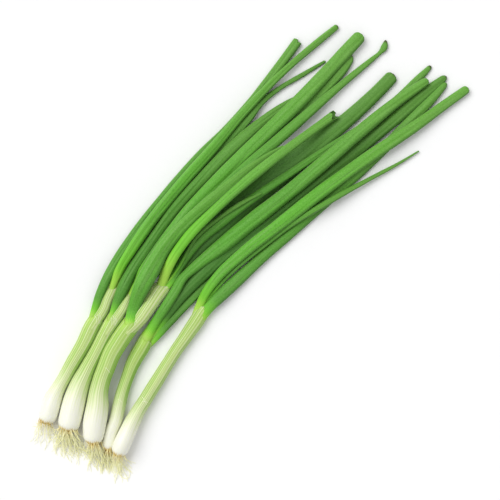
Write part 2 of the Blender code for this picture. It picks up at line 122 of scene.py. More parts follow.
# Leaves, as (along, across, half width), from inside the sheath to the tip
LEAVES = {
    "onion_1_leaf_1": [
        (-121, 43.8, 2.2), (-110, 48.4, 2.7), (-95, 54, 3.6), (-78, 58.7, 3.9), (-60, 61.7, 4.0),
        (-40, 63.5, 4.0), (-8, 64.5, 4.1), (40, 63.5, 4.1), (73, 60.3, 4.1), (103, 59.5, 4.0),
        (135, 61, 4.0), (163, 63, 3.7),
    ],
    "onion_1_leaf_2": [
        (-94, 46.8, 2.8), (-84, 50.3, 3.2), (-71, 54.3, 3.5), (-52, 57.2, 4.1), (-23, 60, 4.4),
        (8, 60.7, 4.4), (50, 59.6, 4.2), (92, 59, 3.4), (137, 55.5, 2.8), (173, 49.7, 2.7), (192, 46, 2.3),
    ],
    "onion_1_leaf_3": [
        (-92, 46.4, 1.5), (-81, 48.2, 1.9), (-59, 52.6, 2.4), (-32, 55, 2.4), (5, 56, 2.4), (42, 54.6, 2.8),
        (66, 53.3, 3.4), (87, 53, 3.2), (106, 53.3, 2.5), (124, 49.5, 1.9), (141, 43.5, 1.9),
        (164, 35.5, 1.1),
    ],
    "onion_2_leaf_1": [
        (-110, 33.4, 2.2), (-101, 36.3, 2.3), (-93, 38.8, 3.5), (-84, 41.3, 4.7), (-64, 46, 4.6),
        (-35, 49.3, 4.4), (-6, 51.7, 4.8), (26, 50.3, 4.9), (60, 48, 5.0), (95, 42.5, 4.2), (119, 36, 3.3),
        (128, 33, 2.2),
    ],
    "onion_2_leaf_2": [
        (-88, 33.0, 2.6), (-76.5, 34.3, 3.4), (-55, 36.5, 4.8), (-27, 40, 5.6), (3, 41.4, 5.7),
        (36, 39.6, 5.7), (80, 35.5, 5.7), (127, 30.7, 5.7), (170, 28.2, 5.5), (191, 27.2, 5.2),
        (199, 26.8, 5.0),
    ],
    "onion_2_leaf_3": [
        (-88, 33.2, 1.6), (-74, 30.6, 1.9), (-60, 29, 2.0), (-30, 32, 2.2), (-5, 34, 2.6), (30, 33, 3.4),
        (52, 30.3, 4.0), (82, 25.2, 4.3), (113, 20.5, 4.2), (145, 15.5, 3.2), (160, 13, 2.8),
        (177, 9.9, 2.5), (190, 7.5, 2.0), (197, 6.3, 1.7), (202.5, 6.4, 2.8), (205.5, 7.8, 2.0),
        (208, 9.4, 0.6),
    ],
    "onion_2_leaf_4": [
        (-82, 36.5, 1.8), (-66, 40, 2.0), (-45, 42.5, 2.2), (-16, 44.5, 2.2), (32, 41.5, 2.4),
        (76, 33, 3.2), (111, 25.6, 4.4), (148, 21.3, 4.4), (170, 21, 4.2), (181, 21.8, 3.0),
    ],
    "onion_3_leaf_1": [
        (-108, 18.0, 4.6), (-99, 19.5, 4.7), (-92, 23.2, 4.8), (-81, 27.9, 5.5), (-71, 31.0, 6.4),
        (-60, 33.4, 7.0), (-50, 35.4, 6.8), (-36, 37.8, 5.8), (-20, 38.2, 5.0), (-4, 37, 4.6),
        (31, 31.7, 4.0), (56, 27.1, 2.9), (79, 20.5, 2.0), (89.5, 16.8, 1.2),
    ],
    "onion_3_leaf_2": [
        (-72, 18.8, 3.0), (-59, 20.9, 3.6), (-48, 24.5, 4.0), (-38, 26.9, 4.1), (-18, 28.9, 4.0),
        (15, 26.5, 3.7), (50, 21.5, 4.0), (88, 13.6, 3.7), (128, 4, 3.6), (137, 1.9, 3.6),
    ],
    "onion_3_leaf_3": [
        (-68, 16.8, 2.0), (-53, 16.0, 2.6), (-31, 19.5, 3.4), (-11, 20, 3.8), (10, 16.5, 4.4),
        (39, 10, 3.7), (67, 2, 3.2), (104, -9, 3.0), (140, -20.3, 3.0), (180, -28.5, 3.0),
        (206, -31.3, 2.7), (215.5, -32, 1.7),
    ],
    "onion_3_leaf_4": [
        (-62, 17.8, 0.9), (-44, 18.5, 1.1), (-8, 23.3, 1.4), (13, 19.5, 1.6), (32, 14, 1.8),
        (49.5, 6.5, 0.7),
    ],
    "onion_3_leaf_5": [
        (-66, 18.4, 1.9), (-53.5, 18.5, 2.8), (-27, 18.4, 6.9), (6, 15.8, 8.7), (38, 11.3, 9.2),
        (69, 5.4, 9.4), (104, -1.4, 8.5), (120, -4.4, 7.4), (136, -7.6, 6.2), (146, -9.2, 5.9),
        (180, -13, 5.5), (191, -13.6, 5.2),
    ],
    "onion_4_leaf_1": [
        (-107, 1.4, 4.2), (-99, 2.8, 4.4), (-93, 3.9, 4.2), (-85, 5.2, 4.1), (-68, 7.1, 4.2),
        (-52, 9.5, 4.0), (-45, 11.0, 3.8), (-40.5, 11.0, 3.5), (-34, 10.0, 3.8), (-24, 8.2, 4.6),
        (-5, 4, 6.2), (25, -1.5, 6.3), (65, -9.8, 5.9), (107, -17, 5.6), (148, -24, 5.1), (178, -30, 4.3),
        (198, -35.5, 3.7), (205, -37.5, 3.2),
    ],
    "onion_4_leaf_2": [
        (-98, -0.6, 2.2), (-85, 0.6, 2.8), (-57, 2.8, 4.5), (-25, 0.7, 6.2), (16, -8.2, 4.8),
        (57, -16.5, 4.2), (97, -24.7, 4.9), (137, -32.0, 5.4), (178, -39.5, 5.1), (205, -44.3, 3.8),
        (217, -46.8, 2.6),
    ],
    "onion_4_leaf_3": [
        (-107, -2.4, 2.0), (-93, -3.2, 2.7), (-76, -3.6, 3.2), (-53, -5, 3.3), (-20, -8.5, 3.4),
        (20, -16, 3.2), (50, -21, 2.5), (62, -23, 1.3),
    ],
    "onion_5_leaf_1": [
        (-64, -17.0, 2.6), (-52, -13.3, 3.2), (-41, -10.5, 3.6), (-24, -9.6, 4.2), (1, -12.5, 4.6),
        (40, -20.5, 5.0), (80, -29, 5.3), (128, -41, 5.0), (174, -54.4, 4.5), (200, -60.8, 3.8),
        (214, -64.5, 3.6), (221, -66.3, 3.4),
    ],
    "onion_5_leaf_2": [
        (-68, -20.0, 4.0), (-56, -19.9, 4.4), (-47, -20, 4.4), (-40, -20.6, 4.7), (-24, -22.5, 5.2),
        (8, -26.5, 4.6), (50, -33, 4.5), (92, -39.2, 4.7), (135, -45.1, 4.5), (170, -47.7, 4.3),
        (200, -49.8, 3.4), (213, -50, 2.6),
    ],
    "onion_5_leaf_3": [
        (-59, -17.2, 1.2), (-42, -15, 1.5), (-11, -16.5, 1.7), (19, -22, 2.0), (44, -27.5, 2.2),
        (80, -39.5, 2.4), (114, -52.5, 1.8), (139, -62.5, 1.2), (157, -68.5, 0.6),
    ],
}

# What sets a leaf apart from the others. Lengths are in millimetres.
PLAIN_LEAF = {
    "flatness": 0.6,        # thickness for its width
    "brightness": 0.5,      # 0 is dull grey-green, 1 is bright yellow-green
    "blade": False,         # True where the outer sheath itself goes over into this leaf
    "green_from": 0.0,      # where the green starts, from the start of the route
    "lime": 22.0,           # how far the light green of the base reaches
    "ridge": 0.3,           # where a ridge runs, from -1 at the right edge to 1 at the left edge
    "ridge_height": 0.0,    # 0 for a round back, 1 for a roof with two flat faces
    "round_tip": 1.2,       # length of the rounded tip, for the half width there
    "tip": "closed",        # or notched, or torn and open
    "dry_tip": 0.0,         # length of the dried end
}
LEAF_LOOKS = {
    "onion_1_leaf_1": {
        "blade": True, "green_from": 10, "brightness": 0.45, "lime": 10,
        "tip": "notched", "round_tip": 0.35, "ridge": -0.3, "ridge_height": 0.15,
    },
    "onion_1_leaf_2": {
        "flatness": 0.75, "brightness": 0.8, "green_from": 8, "lime": 46,
        "ridge": 0.6, "ridge_height": 0.5, "dry_tip": 2.5, "round_tip": 0.9,
    },
    "onion_1_leaf_3": {"brightness": 0.3, "green_from": 9},
    "onion_2_leaf_1": {
        "blade": True, "green_from": 8, "brightness": 0.35, "lime": 9,
        "ridge": 0.35, "ridge_height": 0.4, "round_tip": 2.5,
    },
    "onion_2_leaf_2": {
        "flatness": 0.5, "brightness": 0.72, "green_from": 6,
        "ridge": 0.2, "ridge_height": 0.2, "round_tip": 0.8,
    },
    "onion_2_leaf_3": {
        "brightness": 0.55, "green_from": 4,
        "ridge": 0.0, "ridge_height": 0.4, "round_tip": 1.0, "dry_tip": 5.0,
    },
    "onion_2_leaf_4": {"brightness": 0.45, "green_from": 6, "round_tip": 1.8, "dry_tip": 2.0},
    "onion_3_leaf_1": {
        "flatness": 0.5, "blade": True, "green_from": 11, "brightness": 0.65, "lime": 7,
        "ridge": 0.35, "ridge_height": 0.8,
    },
    "onion_3_leaf_2": {
        "flatness": 0.75, "brightness": 0.95, "green_from": 13, "lime": 72,
        "ridge": 0.3, "ridge_height": 0.2, "tip": "torn", "round_tip": 0.0,
    },
    "onion_3_leaf_3": {
        "brightness": 0.5, "green_from": 10, "lime": 9, "ridge": 0.2, "ridge_height": 0.45, "dry_tip": 4.0,
    },
    "onion_3_leaf_4": {"brightness": 0.6, "green_from": 8},
    # This leaf's low brightness is partly painted shade, which keeps the gaps between the leaves over it
    # dark
    "onion_3_leaf_5": {
        "flatness": 0.35, "brightness": 0.1, "green_from": 10,
        "ridge": 0.1, "ridge_height": 0.3, "round_tip": 0.75, "dry_tip": 2.0,
    },
    "onion_4_leaf_1": {
        "flatness": 0.7, "blade": True, "green_from": 10, "brightness": 0.62, "lime": 14,
        "ridge": 0.15, "ridge_height": 0.2, "round_tip": 0.9,
    },
    # This leaf's low brightness is partly painted shade, for the shadow that onion_4_leaf_1 casts on it
    "onion_4_leaf_2": {
        "brightness": 0.12, "green_from": 8, "lime": 12,
        "ridge": 0.3, "ridge_height": 0.3, "round_tip": 1.6, "dry_tip": 2.5,
    },
    "onion_4_leaf_3": {"brightness": 0.3, "green_from": 7, "lime": 14},
    "onion_5_leaf_1": {
        "brightness": 0.9, "green_from": 9, "lime": 26,
        "ridge": 0.5, "ridge_height": 0.35, "round_tip": 0.9,
    },
    "onion_5_leaf_2": {
        "blade": True, "brightness": 0.5, "green_from": 10, "lime": 14,
        "ridge": 0.1, "ridge_height": 0.3, "round_tip": 1.8,
    },
    "onion_5_leaf_3": {"flatness": 0.95, "brightness": 0.55, "green_from": 8},
}
THINNEST_HALF = 0.45
# Depth of the lengthwise crease, for the half thickness
CREASE = 0.14

# Bundles of roots, as (side of the plate from -1 to 1, sweep along, sweep across, spread, roots, tangle)
ROOT_BUNDLES = {
    "onion_1": [(0.6, -19, -10, 2.5, 10, 1.1), (-0.4, -12, -18, 3.5, 14, 1.2), (0.9, -10, -2, 2.5, 4, 2.0)],
    "onion_2": [
        (0.7, -21, -8, 5, 30, 2.5), (0.1, -20, -17, 6, 37, 3.0), (-0.6, -12.5, -25, 4, 27, 2.0),
        (0.9, -9, 0, 4, 8, 3.0),
    ],
    "onion_3": [(0.6, -15, -8, 3, 19, 1.2), (0.1, -17, -16, 4, 23, 1.6), (-0.5, -14, -24, 4, 32, 1.2)],
    "onion_4": [(0.2, -16.5, -7, 3, 16, 1.5), (-0.3, -15, -14, 4, 20, 1.5), (0.0, -6, -5, 3, 14, 2.0)],
    "onion_5": [(0.4, -15.5, -13, 2.5, 16, 1.1), (-0.2, -15, -17, 3, 16, 1.2), (-0.7, -9, -14, 2, 7, 1.0)],
}
STRAY_ROOT = [(-191, -43), (-196.5, -49.9), (-197.4, -54), (-195.6, -58.6), (-191.5, -58), (-189.9, -55.5)]
# How brown the roots of a tuft are at their bases
ROOT_AGE = {"onion_1": 0.7, "onion_2": 0.5, "onion_3": 0.6, "onion_4": 1.0, "onion_5": 0.4}
ROOT_HALF = 0.25
# How strongly a root curls aside, for the length of its sweep
ROOT_CURL = 0.16
# How deep inside the bulb's end a root starts, and how much of that end the roots cover
ROOT_DEPTH, ROOT_COVER = 1.3, 0.92
# The way from a bulb's end up into it, and the left of that
BULB_AHEAD = np.array([0.88, 0.47])
BULB_SIDE = np.array([-BULB_AHEAD[1], BULB_AHEAD[0]])
# Half the depth of a root plate, and how deep its middle lies in the bulb
PLATE_HALF, PLATE_DEPTH = 1.5, 0.9

# Pale nicks and folds in the outer sheaths, each as its two ends (along, across)
NICKS = {
    "onion_1": [
        ((-109.5, 44.6), (-114.0, 38.6)), ((-108.6, 42.8), (-113.6, 38.2)), ((-111.4, 45.2), (-115, 40)),
    ],
    "onion_2": [
        ((-101.8, 34.4), (-107.4, 28.6)), ((-101.6, 32.6), (-107, 28.2)), ((-101.8, 30.8), (-106.4, 27.8)),
        ((-104.0, 34.6), (-108.6, 29.8)),
    ],
    "onion_3": [
        ((-137.4, 12.6), (-137.9, 5.6)),
        ((-92.5, 17.8), (-97.5, 13.4)), ((-91.4, 16.4), (-97, 12.4)), ((-95, 17.8), (-99.5, 13.6)),
    ],
    "onion_4": [((-150.9, -11.4), (-150.2, -16.6)), ((-157.0, -12.2), (-157.4, -17.6))],
    "onion_5": [((-137.0, -25.0), (-138.9, -32.4)), ((-139.3, -27.6), (-136.9, -32.4))],
}
NICK_HALF, NICK_RISE = 0.16, 0.05

# How finely the pieces are made. Roots and nicks are strands.
SHEATH_SIDES, SHEATH_STEP = 108, 1.6
LEAF_SIDES, LEAF_RINGS = 48, 118
STRAND_POINTS = 11


def colour(red, green, blue):
    """A display colour, given from 0 to 255, as the linear one that shaders use."""
    def linear(level):
        level /= 255
        return level / 12.92 if level <= 0.04045 else ((level + 0.055) / 1.055) ** 2.4
    return (linear(red), linear(green), linear(blue), 1.0)


class Wire:
    """A shader value that Python's arithmetic works on."""

    def __init__(self, recipe, socket):
        self.recipe = recipe
        self.socket = socket

    def maths(self, operation, *values):
        return self.recipe.node("ShaderNodeMath", {"operation": operation}, dict(enumerate(values)))

    def __add__(self, other):
        return self.maths("ADD", self, other)

    __radd__ = __add__

    def __sub__(self, other):
        return self.maths("SUBTRACT", self, other)

    def __rsub__(self, other):
        return self.maths("SUBTRACT", other, self)

    def __mul__(self, other):
        return self.maths("MULTIPLY", self, other)

    def __truediv__(self, other):
        return self.maths("DIVIDE", self, other)


class Recipe:
    """The nodes of one material."""

    def __init__(self, name, roughness, specular=0.5):
        self.material = bpy.data.materials.new(name)
        self.material.use_nodes = True
        self.nodes = self.material.node_tree.nodes
        self.links = self.material.node_tree.links
        self.shader = self.nodes["Principled BSDF"]
        self.shader.inputs["Roughness"].default_value = roughness
        self.shader.inputs["Specular IOR Level"].default_value = specular

    def node(self, kind, settings, inputs, output=0):
        """Adds a node with its settings first, then the values or links of its sockets."""
        made = self.nodes.new(kind)
        for key, value in settings.items():
            setattr(made, key, value)
        for key, value in inputs.items():
            self.feed(made.inputs[key], value)
        return Wire(self, made.outputs[output])

    def feed(self, socket, value):
        """Links a value to a socket, or sets the socket to it."""
        if isinstance(value, Wire):
            self.links.new(value.socket, socket)
        else:
            socket.default_value = value

    def attribute(self, name):
        """A piece's own attribute, whole and as its three numbers."""
        vector = self.node("ShaderNodeAttribute", {"attribute_name": name}, {}, "Vector")
        return vector, [self.node("ShaderNodeSeparateXYZ", {}, {0: vector}, axis) for axis in "XYZ"]

    def noise(self, vector, scales, detail=3.0):
        """Noise from 0 to 1 on a vector that is stretched by three scales."""
        spread = self.node("ShaderNodeVectorMath", {"operation": "MULTIPLY"}, {0: vector, 1: scales})
        inputs = {"Vector": spread, "Scale": 1.0, "Detail": detail, "Roughness": 0.55}
        return self.node("ShaderNodeTexNoise", {}, inputs, "Fac")

    def ramp(self, value, low, high):
        """0 below low, 1 above high, and smooth between them. High may be the smaller one."""
        settings = {"interpolation_type": "SMOOTHSTEP"}
        if high > low:
            return self.node("ShaderNodeMapRange", settings, {0: value, 1: low, 2: high, 3: 0.0, 4: 1.0})
        return self.node("ShaderNodeMapRange", settings, {0: value, 1: high, 2: low, 3: 1.0, 4: 0.0})

    def mix(self, under, over, share):
        """One colour laid over another with this share."""
        return self.node("ShaderNodeMix", {"data_type": "RGBA"}, {0: share, 6: under, 7: over}, 2)

    def bump(self, height, distance):
        """Relief of this height, where 1 stands for the distance in millimetres."""
        inputs = {"Strength": 1.0, "Distance": distance * MM, "Height": height}
        normal = self.node("ShaderNodeBump", {}, inputs)
        self.feed(self.shader.inputs["Normal"], normal)

    def finish(self, tone, roughness=None):
        """The finished material, with its colour and, on some, a roughness that varies."""
        self.feed(self.shader.inputs["Base Color"], tone)
        if roughness is not None:
            self.feed(self.shader.inputs["Roughness"], roughness)
        return self.material


# Leaf colours
# SHADE_GREEN darkens the fine veins and grain, and is the painted shade on the right flanks and undersides
# of the leaves
SHADE_GREEN = colour(48, 88, 30)
DULL_GREEN = colour(66, 118, 43)
BRIGHT_GREEN = colour(104, 188, 52)
TIP_GREEN = colour(106, 162, 62)
# Waxy bloom on patches, veins and specks, and the painted highlight on the left edges of the leaves
BLOOM_AND_HIGHLIGHT_GREEN = colour(132, 180, 98)
LIME = colour(120, 204, 48)
PALE_LIME = colour(176, 222, 84)
SHEATH_END = colour(174, 205, 102)
DRY = colour(70, 80, 34)

# Sheath colours
BULB_WHITE = colour(246, 247, 227)
NECK_WHITE = colour(224, 232, 184)
SHAFT_GREEN = colour(194, 217, 130)
FORK_GREEN = colour(162, 200, 84)
# Green veins, and the painted shade on the right sides of the sheaths
VEIN_AND_SHADE_GREEN = colour(136, 190, 68)
RIM_WHITE = colour(232, 236, 196)
STAIN = colour(204, 170, 66)

# Root colours
STRAW = colour(255, 254, 207)
OCHRE = colour(220, 182, 44)
BROWN = colour(156, 104, 18)
SCAR = colour(246, 246, 226)

# The table, and its grain
TABLE_WHITE = (0.92, 0.92, 0.925, 1.0)
TABLE_GRAIN = (0.94, 0.94, 0.94, 1.0)


def leaf_finish():
    """Leaf skin: fine lengthwise veins, a waxy bloom in patches, light at the base and dull at the tip, with
    a painted highlight on the left edge and painted shade on the right flank and the underside.
    """
    recipe = Recipe("leaf_skin", 0.5, 0.3)
    round_, (side, rise, along) = recipe.attribute("round")
    _, (left, brightness, lime) = recipe.attribute("leaf")
    veins = recipe.noise(round_, (8.0, 8.0, 0.008))
    fine = recipe.noise(round_, (20.0, 20.0, 0.05), 2.0)
    patches = recipe.noise(round_, (1.5, 1.5, 0.02), 4.0)
    specks = recipe.noise(round_, (5.0, 5.0, 0.4), 1.0)
    grain = recipe.noise(round_, (7.0, 7.0, 0.8), 2.0)
    frayed = along + (fine - 0.5) * 14.0 + (veins - 0.5) * 10.0
    waxy = brightness + 0.35
    green = recipe.mix(DULL_GREEN, BRIGHT_GREEN, brightness)
    green = recipe.mix(green, TIP_GREEN, recipe.ramp(left, 190.0, 10.0) * (0.5 + brightness * 0.25))
    green = recipe.mix(green, BLOOM_AND_HIGHLIGHT_GREEN, recipe.ramp(patches, 0.5, 0.8) * waxy * 0.5)
    green = recipe.mix(green, BLOOM_AND_HIGHLIGHT_GREEN, recipe.ramp(veins, 0.55, 0.8) * waxy * 0.4)
    green = recipe.mix(green, SHADE_GREEN, recipe.ramp(fine, 0.5, 0.25) * 0.35)
    green = recipe.mix(green, SHADE_GREEN, recipe.ramp(veins, 0.42, 0.24) * 0.3)
    # Painted highlight: a pale margin on the left edge only, the side that faces the light
    green = recipe.mix(green, BLOOM_AND_HIGHLIGHT_GREEN, recipe.ramp(side, 0.85, 1.0) * 0.7)
    # Painted shade: the right flank, which faces away from the light, is darker
    green = recipe.mix(green, SHADE_GREEN, recipe.ramp(side, -0.4, -1.0) * 0.55)
    # Painted shade on the underside, which also darkens the gaps between the leaves
    green = recipe.mix(green, SHADE_GREEN, recipe.ramp(rise, 0.0, -0.4) * 0.6)
    green = recipe.mix(green, SHADE_GREEN, recipe.ramp(grain, 0.5, 0.3) * 0.3)
    green = recipe.mix(green, BLOOM_AND_HIGHLIGHT_GREEN, recipe.ramp(grain, 0.5, 0.7) * waxy * 0.25)
    green = recipe.mix(green, BLOOM_AND_HIGHLIGHT_GREEN, recipe.ramp(specks, 0.76, 0.82) * waxy * 0.6)
    up_base = frayed / lime
    green = recipe.mix(green, LIME, recipe.ramp(up_base, 1.5, 0.2) * 0.85)
    green = recipe.mix(green, PALE_LIME, recipe.ramp(up_base, 0.5, 0.0) * (0.25 + brightness * 0.75))
    green = recipe.mix(green, SHEATH_END, recipe.ramp(frayed, 1.5, -5.0))
    dry = recipe.attribute("dry")[1][0]
    green = recipe.mix(green, DRY, recipe.ramp(dry + (veins - 0.5) * 0.8, 0.35, 0.8))
    recipe.bump(veins * 0.6 + fine * 0.4, 0.35)
    return recipe.finish(green, 0.42 + patches * 0.24)


def sheath_finish():
    """Sheath skin: glossy white at the bulb, pale green with veins further up, stained at the plate, and
    greener on the right side as painted shade.
    """
    recipe = Recipe("sheath_skin", 0.3, 0.5)
    round_, (across, _, along) = recipe.attribute("round")
    _, (to_mouth, green, outer) = recipe.attribute("sheath")
    veins = recipe.noise(round_, (8.5, 8.5, 0.005))
    fine = recipe.noise(round_, (21.0, 21.0, 0.015), 2.0)
    patches = recipe.noise(round_, (1.6, 1.6, 0.03), 3.0)
    frayed = along + (veins - 0.5) * 40.0 + (fine - 0.5) * 16.0
    tone = recipe.mix(BULB_WHITE, NECK_WHITE, recipe.ramp(frayed, 14.0, 38.0))
    tone = recipe.mix(tone, SHAFT_GREEN, recipe.ramp(frayed, 28.0, 60.0))
    tone = recipe.mix(tone, FORK_GREEN, recipe.ramp(to_mouth + (patches - 0.5) * 16.0, 75.0, 4.0) * green)
    grown = recipe.ramp(along, 22.0, 60.0)
    tone = recipe.mix(tone, VEIN_AND_SHADE_GREEN, recipe.ramp(veins, 0.51, 0.6) * grown * 0.7)
    tone = recipe.mix(tone, RIM_WHITE, recipe.ramp(veins, 0.48, 0.4) * grown * (0.7 - green * 0.35))
    tone = recipe.mix(tone, VEIN_AND_SHADE_GREEN, recipe.ramp(fine, 0.52, 0.72) * grown * 0.35)
    # Painted shade: the right side, away from the light, turns greener and darker
    tone = recipe.mix(tone, VEIN_AND_SHADE_GREEN, recipe.ramp(0.0 - across, 0.25, 1.0) * grown * green)
    tone = recipe.mix(tone, RIM_WHITE, recipe.ramp(to_mouth + (fine - 0.5) * 2.0, 1.5, 0.3) * 0.7)
    to_blade = recipe.attribute("blade")[1][0] + (fine - 0.5) * 0.9 + (veins - 0.5) * 0.9
    tone = recipe.mix(tone, PALE_LIME, recipe.ramp(to_blade, 0.15, 1.1) * 0.8)
    soil = recipe.ramp(along + (patches - 0.5) * 9.0 + (veins - 0.5) * 5.0, 3.8, 0.0)
    tone = recipe.mix(tone, STAIN, soil * outer)
    recipe.bump((veins * 0.6 + fine * 0.4) * grown, 0.5)
    recipe.shader.inputs["Subsurface Weight"].default_value = 0.12
    recipe.shader.inputs["Subsurface Radius"].default_value = (0.0025, 0.003, 0.0012)
    recipe.shader.inputs["Subsurface Scale"].default_value = 1.0
    return recipe.finish(tone, 0.26 + patches * 0.12 + grown * 0.22)


def root_finish():
    """Root fibres: straw-coloured, ochre and brown where they leave the plate."""
    recipe = Recipe("root_fibre", 0.7, 0.3)
    vector, (from_plate, _, age) = recipe.attribute("root")
    grain = recipe.noise(vector, (0.9, 1.4, 9.0), 3.0)
    reach = from_plate + (grain - 0.5) * 7.0
    tone = recipe.mix(STRAW, OCHRE, recipe.ramp(reach, 9.0, 1.0) * (0.25 + age * 0.75))
    tone = recipe.mix(tone, BROWN, recipe.ramp(reach, 4.5, 0.5) * recipe.ramp(age, 0.4, 0.8))
    tone = recipe.mix(tone, OCHRE, recipe.ramp(grain, 0.6, 0.8) * 0.2)
    recipe.bump(grain, 0.1)
    return recipe.finish(tone)


def scar_finish():
    """The dry white skin that lifts beside a nick."""
    recipe = Recipe("scar_skin", 0.5, 0.3)
    vector, _ = recipe.attribute("root")
    grain = recipe.noise(vector, (1.5, 1.5, 1.5), 2.0)
    return recipe.finish(recipe.mix(SCAR, SHAFT_GREEN, recipe.ramp(grain, 0.5, 0.8) * 0.6))


def table_finish():
    """A matt white table."""
    recipe = Recipe("table_top", 0.75, 0.2)
    place = recipe.node("ShaderNodeTexCoord", {}, {}, "Object")
    grain = recipe.noise(place, (180.0, 180.0, 180.0), 4.0)
    return recipe.finish(recipe.mix(TABLE_WHITE, TABLE_GRAIN, grain))


class Route:
    """A smooth line over the table, with sizes along it. Places on it count from its start."""

    def __init__(self, points):
        self.points = np.array(points, float)
        steps = np.hypot(*np.diff(self.points[:, :2], axis=0).T)
        self.reach = np.concatenate([[0.0], np.cumsum(steps)])
        self.slopes = np.gradient(self.points, self.reach, axis=0)
        self.length = self.reach[-1]

    def at(self, places):
        """The point and the sizes of the route at each place."""
        places = np.clip(places, 0, self.length)
        index = np.clip(np.searchsorted(self.reach, places, side="right") - 1, 0, len(self.reach) - 2)
        span = (self.reach[index + 1] - self.reach[index])[:, None]
        t = (places - self.reach[index])[:, None] / span
        return (
            (2 * t**3 - 3 * t**2 + 1) * self.points[index]
            + (t**3 - 2 * t**2 + t) * self.slopes[index] * span
            + (3 * t**2 - 2 * t**3) * self.points[index + 1]
            + (t**3 - t**2) * self.slopes[index + 1] * span
        )

    def left(self, places):
        """Unit vectors to the left of the route, seen from above."""
        near = 1.5
        ahead = self.at(np.minimum(places + near, self.length)) - self.at(np.maximum(places - near, 0))
        ahead = ahead[:, :2] / np.linalg.norm(ahead[:, :2], axis=1)[:, None]
        return np.column_stack([-ahead[:, 1], ahead[:, 0]])

    def place_of(self, along):
        """The place on the route that is this far along the bunch."""
        places = np.linspace(0, self.length, 600)
        return float(np.interp(along, self.at(places)[:, 0], places))


class Solid:
    """A mesh whose heights are read with upright rays, in millimetres."""

    def __init__(self, mesh):
        corners = [vert.co for vert in mesh.vertices]
        self.tree = BVHTree.FromPolygons(corners, [face.vertices for face in mesh.polygons])

    def touch(self, spots, start, way):
        """The first height that a ray meets over each spot, or no number where it meets nothing."""
        heights = np.full(len(spots), np.nan)
        for k, (x, y) in enumerate((spots - MIDDLE) * MM):
            hit = self.tree.ray_cast(Vector((x, y, start)), Vector((0, 0, way)))[0]
            if hit:
                heights[k] = hit.z / MM
        return heights

    def top(self, spots):
        return self.touch(spots, 1.0, -1.0)

    def bottom(self, spots):
        return self.touch(spots, -1.0, 1.0)

    def middle(self, spots):
        return (self.top(spots) + self.bottom(spots)) / 2


def packed(node):
    """The solid that was packed under this name."""
    return Solid(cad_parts[node].data)


def smooth(values, window):
    """A running mean with soft ends."""
    kernel = np.hanning(window + 2)[1:-1]
    padded = np.pad(values, window // 2, mode="edge")
    return np.convolve(padded, kernel / kernel.sum(), "valid")


def fill_gaps(values):
    """Carries the nearest known values over the places that have none."""
    known = ~np.isnan(values)
    if not known.any():
        raise ValueError("a route starts outside its stalk")
    places = np.arange(len(values))
    return np.interp(places, places[known], values[known])


def eased(share):
    """A share held between 0 and 1 that starts and stops softly."""
    share = np.clip(share, 0, 1)
    return share * share * (3 - 2 * share)


# A wandering wave is made of three, whose lengths and heights have these shares
WAVE_SHARES = (1.0, 0.53, 0.31)


def wander(places, wave, chance):
    """A slow wave between -1 and 1 along the places, different each time."""
    total = np.zeros(len(places))
    for share in WAVE_SHARES:
        total += share * np.sin(places * 2 * math.pi / (wave * share) + chance.uniform(0, 2 * math.pi))
    return total / sum(WAVE_SHARES)


def upright_tube(name, sides, rings, ends):
    """A tube of radius 1 and height 1 that stands on its middle, cut into rings."""
    bpy.ops.object.select_all(action="DESELECT")
    bpy.ops.mesh.primitive_cylinder_add(vertices=sides, radius=1, depth=1, end_fill_type=ends)
    tube = bpy.context.object
    tube.name = tube.data.name = name
    bpy.ops.object.mode_set(mode="EDIT")
    bpy.ops.mesh.select_mode(type="EDGE")
    bpy.ops.mesh.select_all(action="DESELECT")
    shape = bmesh.from_edit_mesh(tube.data)
    for edge in shape.edges:
        low, high = sorted(vert.co.z for vert in edge.verts)
        edge.select_set(high - low > 0.9)
    bmesh.update_edit_mesh(tube.data)
    bpy.ops.mesh.subdivide(number_cuts=rings - 2)
    bpy.ops.object.mode_set(mode="OBJECT")
    return tube


def points_of(thing):
    """A mesh's points, as rows of three."""
    flat = np.empty(len(thing.data.vertices) * 3)
    thing.data.vertices.foreach_get("co", flat)
    return flat.reshape(-1, 3)


def move_points(thing, points):
    """Sets a mesh's points, given in millimetres of the bunch."""
    moved = np.column_stack([points[:, :2] - MIDDLE, points[:, 2]]) * MM
    thing.data.vertices.foreach_set("co", moved.ravel())
    thing.data.update()


def note(thing, name, *columns):
    """Keeps three numbers for each point, which the materials read."""
    values = np.column_stack([np.broadcast_to(column, len(thing.data.vertices)) for column in columns])
    layer = thing.data.attributes.new(name, "FLOAT_VECTOR", "POINT")
    layer.data.foreach_set("vector", values.astype(np.float32).ravel())


def lay_along(tube, route, heights, places, out, up):
    """Puts each point of a tube at its place on the route, out to its left and up from its height."""
    spots = route.at(places)[:, :2] + route.left(places) * out[:, None]
    level = np.interp(places, *heights) + up
    move_points(tube, np.column_stack([spots, np.maximum(level, LOWEST)]))


def dress(thing, material, slot, *nodes):
    """Gives a finished piece its material and its body, and hides the imported nodes that it stands for."""
    thing.data.materials.clear()
    thing.data.materials.append(material)
    thing.data.shade_smooth()
    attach(thing, "root")
    if nodes:
        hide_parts(*nodes)


# How thick the skin of an open tube is
WALL = 0.45


def give_wall(tube):
    """Thickens the skin of an open tube inwards."""
    wall = tube.modifiers.new("Wall", "SOLIDIFY")
    wall.thickness = WALL * MM
    wall.offset = -1
    bpy.ops.object.select_all(action="DESELECT")
    tube.select_set(True)
    bpy.context.view_layer.objects.active = tube
    bpy.ops.object.modifier_apply(modifier=wall.name)


# Sheaths

# How far the mouth of an inner sheath closes round its leaves, and over what length
LIP, LIP_LENGTH = 0.3, 1.3
# How many of the rows of heights along a route are smoothed together
SMOOTHED = 11
# An inner sheath starts this far up its onion, past the white of the bulb
GROWN = 80
# How long a bulb is, and how long the change from bulb to shaft takes past it
BULB_LENGTH, NECK_LENGTH = 35, 20
